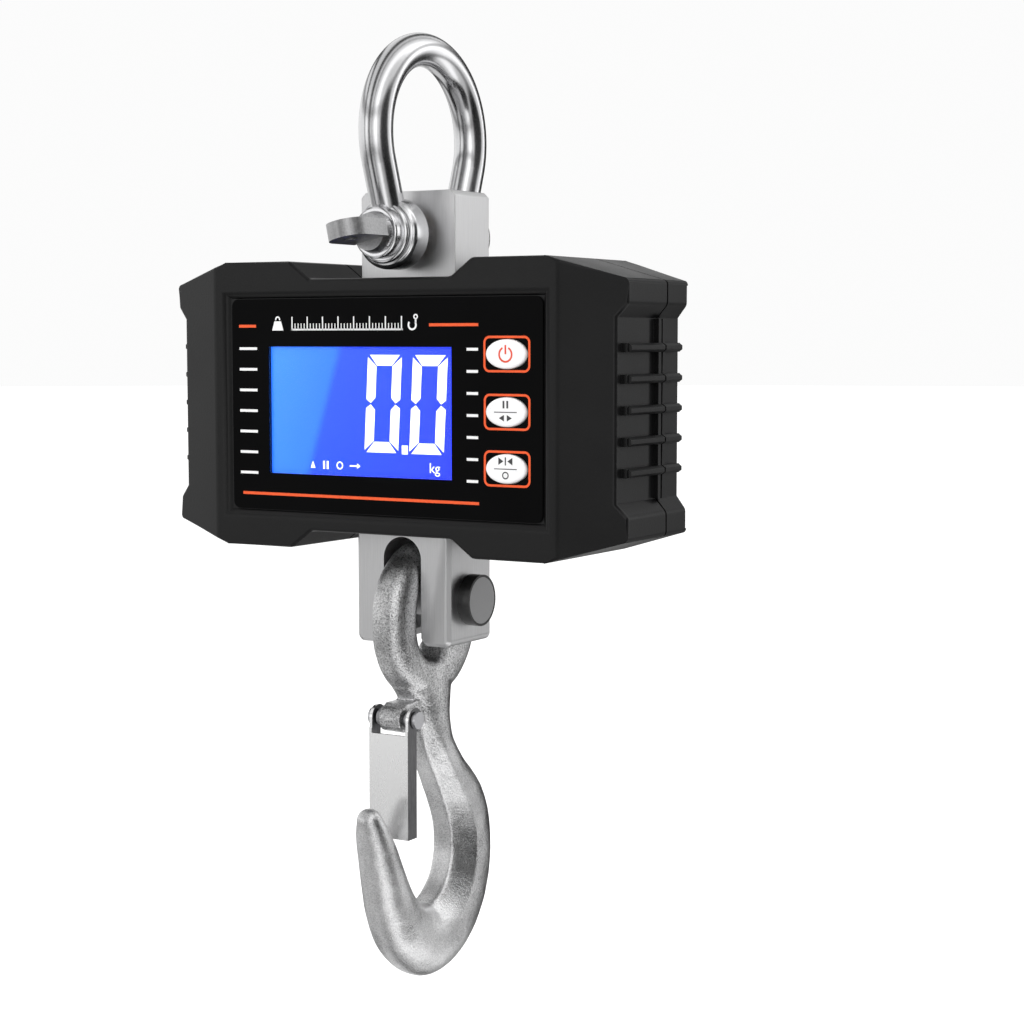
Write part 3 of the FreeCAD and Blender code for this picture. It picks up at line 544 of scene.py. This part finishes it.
def text_mesh(name, body_text, x, z, size, y, mat, body):
    cu = bpy.data.curves.new(name, "FONT")
    cu.body = body_text
    cu.size = size * MM
    cu.extrude = 0.00002
    tmp = bpy.data.objects.new(name + "_t", cu)
    scene.collection.objects.link(tmp)
    tmp.rotation_euler = (math.radians(90), 0, 0)
    tmp.location = P(x, y, z)
    bpy.context.view_layer.update()
    me = bpy.data.meshes.new_from_object(tmp)
    me.transform(tmp.matrix_world)
    bpy.data.objects.remove(tmp)
    ob = bpy.data.objects.new(name, me)
    scene.collection.objects.link(ob)
    paint(ob, mat)
    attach(ob, body)
    return ob


text_mesh("lcd_unit", "kg", 17.9 - PAR, -19.8, 4.4, Y_LCD - 0.03, M["lcd_white"], "scale_body")

# signs on the keys
Y_KEY = -24.4 - 0.9
KX = 45.4
p = arc_band(KX, 16.2, 2.15, 0.55, 118, 422, 34) + [rect(KX - 0.28, KX + 0.28, 16.3, 19.0)]
flat_piece("sign_power", p, Y_KEY - 0.04, Y_KEY + 0.02, M["ink_red"], "power_key")
p = [rect(KX - 3.9, KX + 3.9, -0.93, -0.67)]
p += [rect(KX - 0.95, KX - 0.35, 0.35, 2.55), rect(KX + 0.35, KX + 0.95, 0.35, 2.55)]
p += [[(KX - 2.2, -2.55), (KX - 0.5, -1.6), (KX - 0.5, -3.5)], [(KX + 2.2, -2.55), (KX + 0.5, -3.5), (KX + 0.5, -1.6)]]
flat_piece("sign_hold", p, Y_KEY - 0.04, Y_KEY + 0.02, M["ink_grey"], "hold_key")
p = [rect(KX - 3.9, KX + 3.9, -17.73, -17.47)]
p += [rect(KX - 0.2, KX + 0.2, -16.5, -14.1), [(KX - 2.4, -14.2), (KX - 0.7, -15.3), (KX - 2.4, -16.4)], [(KX + 2.4, -16.4), (KX + 0.7, -15.3), (KX + 2.4, -14.2)]]
p += arc_band(KX, -19.5, 0.95, 0.36, 0, 360, 24)
flat_piece("sign_tare", p, Y_KEY - 0.04, Y_KEY + 0.02, M["ink_grey"], "tare_key")


# ------------------------------------------------------------------ round turned pieces
def lathe_y(name, profile, cx, cz, mat, body, n=96, smooth=40.0):
    """profile: (y, r) points in the housing frame, turned about the Y axis at (cx, cz)."""
    bm = bmesh.new()
    rings = []
    for y, r in profile:
        if r < 1e-6:
            rings.append([bm.verts.new(P(cx, y, cz))])
        else:
            rings.append([bm.verts.new(P(cx + r * math.cos(2 * math.pi * i / n), y, cz + r * math.sin(2 * math.pi * i / n))) for i in range(n)])
    for a, b in zip(rings, rings[1:]):
        for i in range(n):
            j = (i + 1) % n
            if len(a) == 1 and len(b) == 1:
                continue
            if len(a) == 1:
                bm.faces.new((a[0], b[i], b[j]))
            elif len(b) == 1:
                bm.faces.new((a[i], b[0], a[j]))
            else:
                bm.faces.new((a[i], b[i], b[j], a[j]))
    bmesh.ops.recalc_face_normals(bm, faces=bm.faces)
    return finish_mesh(name, bm, mat, body, smooth, weighted=False)


def bead(y0, y1, r, d, n=8):
    """A rounded ring profile from y0 to y1 standing d above radius r."""
    return [(y0 + (y1 - y0) * i / n, r + d * math.sin(math.pi * i / n) ** 0.6) for i in range(n + 1)]


# ------------------------------------------------------------------ hook
HOOK = [
    (-31.2, -127.2, 4.0, 3.4), (-29.7, -132.0, 5.4, 4.7), (-26.5, -140.0, 6.4, 5.9), (-23.4, -149.0, 7.2, 7.0),
    (-19.3, -158.5, 7.9, 8.5), (-12.6, -167.0, 8.5, 10.3), (-1.5, -172.0, 8.9, 12.1), (10.0, -168.5, 9.0, 12.5),
    (18.6, -159.0, 8.8, 12.1), (22.0, -146.0, 8.5, 11.5), (19.4, -132.5, 8.2, 10.8), (9.6, -118.6, 7.8, 7.9),
    (3.8, -109.5, 7.3, 7.2), (0.8, -100.5, 7.2, 8.2), (0.0, -92.0, 7.0, 10.8), (-1.2, -85.6, 6.4, 14.8),
]


def catmull(pts, n):
    out = []
    m = len(pts)
    for i in range(m - 1):
        p0, p1, p2, p3 = pts[max(0, i - 1)], pts[i], pts[i + 1], pts[min(m - 1, i + 2)]
        for k in range(n):
            t = k / n
            out.append(tuple(0.5 * (2 * b + (c - a) * t + (2 * a - 5 * b + 4 * c - d) * t * t + (3 * b - a - 3 * c + d) * t ** 3) for a, b, c, d in zip(p0, p1, p2, p3)))
    out.append(pts[-1])
    return out


def sgn_pow(v, p):
    return math.copysign(abs(v) ** p, v)


def hook_body():
    bm = bmesh.new()
    st = catmull(HOOK, 7)
    N = 56
    rings = []
    for i, (y, z, a, b) in enumerate(st):
        j0, j1 = max(0, i - 1), min(len(st) - 1, i + 1)
        ty, tz = st[j1][0] - st[j0][0], st[j1][1] - st[j0][1]
        n = math.hypot(ty, tz)
        ry, rz = -tz / n, ty / n
        f = i / (len(st) - 1)
        sharp = max(0.0, min(1.0, (f - 0.36) / 0.12)) * max(0.0, min(1.0, (0.88 - f) / 0.08))
        ring = []
        for k in range(N):
            t = 2 * math.pi * k / N
            c, s = math.cos(t), math.sin(t)
            ex = 2.0 / 2.15
            u, w = sgn_pow(c, ex) * b, sgn_pow(s, ex) * a
            if c > 0 and sharp > 0:
                # the inner side is a flat face between two sloping flanks, each ending in a ridge
                q = abs(s)
                if q < 0.35:
                    pu, pw = b, 0.42 * a * q / 0.35
                elif q < 0.85:
                    g = (q - 0.35) / 0.5
                    pu, pw = b - 0.70 * b * g, (0.42 + 0.57 * g) * a
                else:
                    g = (q - 0.85) / 0.15
                    pu, pw = 0.30 * b * (1 - g), (0.99 + 0.01 * g) * a
                u += (pu - u) * sharp
                w += (math.copysign(pw, s) - w) * sharp
            ring.append(bm.verts.new(P(w, y + ry * u, z + rz * u)))
        rings.append(ring)
    for a, b in zip(rings, rings[1:]):
        for i in range(N):
            bm.faces.new((a[i], a[(i + 1) % N], b[(i + 1) % N], b[i]))
    bm.faces.new(rings[0][::-1])
    bm.faces.new(rings[-1])
    # rounded, slightly swollen tip
    s = bmesh.ops.create_uvsphere(bm, u_segments=28, v_segments=16, radius=4.0 * MM)
    bmesh.ops.scale(bm, vec=(1.02, 0.92, 0.98), verts=s["verts"])
    bmesh.ops.translate(bm, vec=P(0, -31.3, -127.6), verts=s["verts"])
    # the eye
    ein, ebar = 11.3, 12.7
    er = ein + ebar / 2
    z1 = -61.0 + 6.06 - ein
    z0 = z1 - 3.4
    path = []
    for k in range(0, 61):
        t = math.pi * k / 60
        path.append((er * math.cos(t), z1 + er * math.sin(t)))
    for k in range(0, 61):
        t = math.pi + math.pi * k / 60
        path.append((er * math.cos(t), z0 + er * math.sin(t)))
    rings = []
    for i, (y, z) in enumerate(path):
        a, b = path[i - 1], path[(i + 1) % len(path)]
        ty, tz = b[0] - a[0], b[1] - a[1]
        n = math.hypot(ty, tz)
        ry, rz = -tz / n, ty / n
        ring = []
        for k in range(32):
            t = 2 * math.pi * k / 32
            c, s = math.cos(t), math.sin(t)
            ex = 2.0 / (3.4 if c > 0 else 2.2)
            u, w = ebar / 2 * sgn_pow(c, ex), ebar / 2 * sgn_pow(s, ex)
            low = max(0.0, min(1.0, (z0 - 1.0 - z) / 8.0)) * max(0.0, min(1.0, (y - 1.0) / 7.0))
            if c * (1 if ry * y + rz * (z - z0) < 0 else -1) > 0:
                u *= 1.0 + 0.55 * low
            ring.append(bm.verts.new(P(w, y + ry * u, z + rz * u)))
        rings.append(ring)
    for i in range(len(rings)):
        a, b = rings[i], rings[(i + 1) % len(rings)]
        for k in range(32):
            bm.faces.new((a[k], a[(k + 1) % 32], b[(k + 1) % 32], b[k]))
    # boss for the latch rivet
    c = bmesh.ops.create_cone(bm, cap_ends=True, segments=32, radius1=4.3 * MM, radius2=4.3 * MM, depth=8.2 * MM)
    bmesh.ops.rotate(bm, verts=c["verts"], cent=(0, 0, 0), matrix=Matrix.Rotation(math.radians(90), 3, "Y"))
    bmesh.ops.translate(bm, vec=P(0, -16.4, -97.8), verts=c["verts"])
    bx = bmesh.ops.create_cube(bm, size=1.0)
    bmesh.ops.scale(bm, vec=(8.0 * MM, 13.0 * MM, 8.2 * MM), verts=bx["verts"])
    bmesh.ops.translate(bm, vec=P(0, -10.0, -97.2), verts=bx["verts"])
    bmesh.ops.recalc_face_normals(bm, faces=bm.faces)
    me = bpy.data.meshes.new("hook_raw")
    bm.to_mesh(me)
    bm.free()
    tmp = bpy.data.objects.new("hook_raw", me)
    scene.collection.objects.link(tmp)
    r = tmp.modifiers.new("r", "REMESH")
    r.mode = "VOXEL"
    r.voxel_size = 0.55 * MM
    s = tmp.modifiers.new("s", "SMOOTH")
    s.factor = 0.5
    s.iterations = 6
    dg = bpy.context.evaluated_depsgraph_get()
    out = bpy.data.meshes.new_from_object(tmp.evaluated_get(dg))
    bpy.data.objects.remove(tmp)
    bm = bmesh.new()
    bm.from_mesh(out)
    bpy.data.meshes.remove(out)
    bm.normal_update()
    for v in bm.verts:
        q = v.co * 1000
        y, z = q.y + OY, q.z + OZ
        keep = min(1.0, max(0.0, (math.hypot(y, z + 61.0) - 7.0) / 4.0))
        # forging lumps, none where the pin bears
        d = noise.noise(q * 0.16) * 0.10 + noise.noise(q * 0.42 + Vector((7, 3, 1))) * 0.045
        v.co += v.normal * d * keep * MM
    return bm


hk = finish_mesh("hook_forged", hook_body(), M["hook_steel"], "hook_body", 60.0, weighted=False)
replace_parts(hk, "hook")


# ------------------------------------------------------------------ latch and springs
bm = from_node("latch")
bevel_edges(bm, 0.28 * MM, lambda e: e.calc_length() > 0.6 * MM, 30.0, 2, clamp=True)
lt = finish_mesh("latch_pressed", bm, M["latch_steel"], "latch_body", 35.0)
# painted shade: faces turned to either side take the darker copy of the zinc
lt.data.materials.append(M["latch_side"])
for f in lt.data.polygons:
    if abs(f.normal.x) > 0.8:
        f.material_index = 1
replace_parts(lt, "latch")


def tube(name, pts, r, mat, body, n=14):
    cu = bpy.data.curves.new(name, "CURVE")
    cu.dimensions = "3D"
    sp = cu.splines.new("NURBS")
    sp.points.add(len(pts) - 1)
    for q, pt in zip(sp.points, pts):
        q.co = (*pt, 1.0)
    sp.order_u = 3
    sp.use_endpoint_u = True
    sp.resolution_u = 6
    cu.bevel_depth = r * MM
    cu.bevel_resolution = 4
    cu.use_fill_caps = True
    tmp = bpy.data.objects.new(name + "_c", cu)
    scene.collection.objects.link(tmp)
    bpy.context.view_layer.update()
    me = bpy.data.meshes.new_from_object(tmp)
    bpy.data.objects.remove(tmp)
    ob = bpy.data.objects.new(name, me)
    scene.collection.objects.link(ob)
    paint(ob, mat)
    me.shade_smooth()
    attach(ob, body)
    return ob


LY, LZ = -16.6, -97.8
for sx, nm in ((-1, "left"), (1, "right")):
    pts = []
    turns, per = 3.25, 14
    for i in range(int(turns * per) + 1):
        t = 2 * math.pi * i / per
        x = sx * (4.75 + 1.25 * i / (turns * per))
        pts.append(P(x, LY + 2.35 * math.cos(t), LZ + 2.35 * math.sin(t)))
    last = pts[-1]
    sp = tube("spring_" + nm, pts, 0.26, M["steel"], "latch_body")
    if nm == "left":
        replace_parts(sp, "latch_spring")


# ------------------------------------------------------------------ shackle
bm = from_node("shackle_pin")


def tab_edge(e):
    y = max(v.co.y for v in e.verts) * 1000
    return y < -29.5 and e.calc_length() > 0.3 * MM


bevel_edges(bm, 0.9 * MM, tab_edge, 28.0, 3, clamp=True)
pin = finish_mesh("pin_tab", bm, M["tab_steel"], "shackle", 35.0)
pin.data.materials.append(M["polished"])
for f in pin.data.polygons:
    c = f.center * 1000
    if c.y > -28.6:
        f.material_index = 1
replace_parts(pin, "shackle_pin")

# turned rings between the collar of the pin and the ear
ring = [(-21.15, 6.2)] + [(-21.15, 9.6)] + bead(-21.2, -22.6, 9.6, 0.7) + [(-22.7, 9.2)] + bead(-22.75, -24.4, 8.6, 0.7) + [(-24.45, 8.2), (-24.45, 6.2)]
lathe_y("ear_ring_front", [(y + OY, r) for y, r in ring], 0, 53.0, M["polished"], "shackle")


# ------------------------------------------------------------------ floor, light, camera
def floor():
    bm = bmesh.new()
    bmesh.ops.create_circle(bm, cap_ends=True, segments=96, radius=9.0)
    me = bpy.data.meshes.new("floor")
    bm.to_mesh(me)
    bm.free()
    ob = bpy.data.objects.new("floor", me)
    scene.collection.objects.link(ob)
    ob.location = (0, 0, cad_lo.z - 0.012)
    m, nt, b, oc = new_mat("floor_pale")
    n = noise_tex(nt, oc, 2.0, 2.0)
    nt.links.new(ramp(nt, n, [(0.3, (0.30, 0.30, 0.30)), (0.7, (0.32, 0.32, 0.32))]), b.inputs["Base Color"])
    b.inputs["Emission Color"].default_value = (1, 1, 1, 1)
    b.inputs["Emission Strength"].default_value = 0.94
    b.inputs["Roughness"].default_value = 0.9
    b.inputs["Specular IOR Level"].default_value = 0.0
    ob.visible_diffuse = False
    ob.visible_glossy = False
    ob.visible_transmission = False
    paint(ob, m)


floor()


def area(name, loc, target, size, power, size_y=None, glossy=False):
    li = bpy.data.lights.new(name, "AREA")
    li.energy = power
    li.size = size
    if size_y:
        li.shape = "RECTANGLE"
        li.size_y = size_y
    ob = bpy.data.objects.new(name, li)
    scene.collection.objects.link(ob)
    ob.location = loc
    d = Vector(target) - Vector(loc)
    ob.rotation_euler = d.to_track_quat("-Z", "Y").to_euler()
    ob.visible_glossy = glossy
    return ob


C = (0, 0, -0.12)
area("key_left", (-0.55, -0.95, 0.45), C, 0.45, 8.0, 0.7)
area("key_right", (1.0, 0.25, 0.10), C, 0.6, 7.0, 0.9)
area("top_soft", (0.05, 0.15, 0.95), C, 0.8, 8.5)
area("low_front", (0.1, -0.9, -0.75), C, 0.5, 2.6)

w = bpy.data.worlds.new("studio")
scene.world = w
w.use_nodes = True
nt = w.node_tree
nt.nodes.clear()
out = nt.nodes.new("ShaderNodeOutputWorld")
tc = nt.nodes.new("ShaderNodeTexCoord")
sep = nt.nodes.new("ShaderNodeSeparateXYZ")
nt.links.new(tc.outputs["Generated"], sep.inputs[0])


def along(axis, stops):
    """A grey factor by how far a direction leans towards an axis; stops are (cosine, value)."""
    if axis is None:
        d = sep.outputs[2]
    else:
        n = nt.nodes.new("ShaderNodeVectorMath")
        n.operation = "DOT_PRODUCT"
        nt.links.new(tc.outputs["Generated"], n.inputs[0])
        n.inputs[1].default_value = Vector(axis).normalized()
        d = n.outputs["Value"]
    return ramp(nt, remap(nt, d, 0.0, 1.0, -1.0, 1.0), [((c + 1) / 2, v) for c, v in stops])


def times(a, b):
    n = nt.nodes.new("ShaderNodeMix")
    n.data_type = "RGBA"
    n.blend_type = "MULTIPLY"
    n.inputs[0].default_value = 1.0
    nt.links.new(a, n.inputs[6])
    nt.links.new(b, n.inputs[7])
    return n.outputs[2]


sky = along(None, [(-1, 0.75), (-0.42, 0.70), (-0.34, 0.30), (-0.24, 0.30), (-0.14, 0.75), (0.05, 0.95), (0.26, 1.0), (0.32, 0.35), (0.42, 0.35), (0.48, 1.0), (0.70, 0.80), (1, 0.70)])
front = along((-0.5, -0.83, 0.02), [(-1, 1.0), (0.86, 1.0), (0.94, 1.35), (1, 1.40)])
back = along((0.06, 0.995, -0.06), [(-1, 1.0), (0.86, 1.0), (0.92, 0.04), (1, 0.02)])
side = along((1, 0, 0), [(-1, 1.0), (-0.80, 1.0), (-0.75, 0.10), (-0.69, 0.10), (-0.64, 1.0), (-0.38, 1.0), (-0.32, 0.05), (-0.14, 0.05), (-0.06, 1.0), (0.06, 1.0), (0.10, 0.25), (0.15, 0.25), (0.19, 1.0), (0.34, 1.1), (0.42, 1.9), (0.60, 1.9), (0.68, 0.9), (0.84, 0.9), (0.89, 0.04), (1, 0.04)])
level = times(times(sky, front), times(back, side))
b1 = nt.nodes.new("ShaderNodeBackground")
b1.inputs[1].default_value = 1.15
nt.links.new(level, b1.inputs[0])
b2 = nt.nodes.new("ShaderNodeBackground")
b2.inputs[0].default_value = (0.97, 0.97, 0.97, 1)
b2.inputs[1].default_value = 1.0
lp = nt.nodes.new("ShaderNodeLightPath")
mx = nt.nodes.new("ShaderNodeMixShader")
nt.links.new(lp.outputs["Is Camera Ray"], mx.inputs[0])
nt.links.new(b1.outputs[0], mx.inputs[1])
nt.links.new(b2.outputs[0], mx.inputs[2])
nt.links.new(mx.outputs[0], out.inputs[0])

cam = bpy.data.cameras.new("camera")
cam.sensor_width = 36.0
cam.lens = 2039.79 / 1024 * 36.0
cam.clip_start, cam.clip_end = 0.01, 60.0
co = bpy.data.objects.new("camera", cam)
scene.collection.objects.link(co)
co.location = (0.355098, -0.542594, -0.084823)
co.rotation_euler = (math.radians(90 - 4.837), 0.0, math.radians(30.786))
scene.camera = co
scene.view_settings.view_transform = "Standard"
scene.view_settings.look = "None"
scene.view_settings.exposure = 0.0
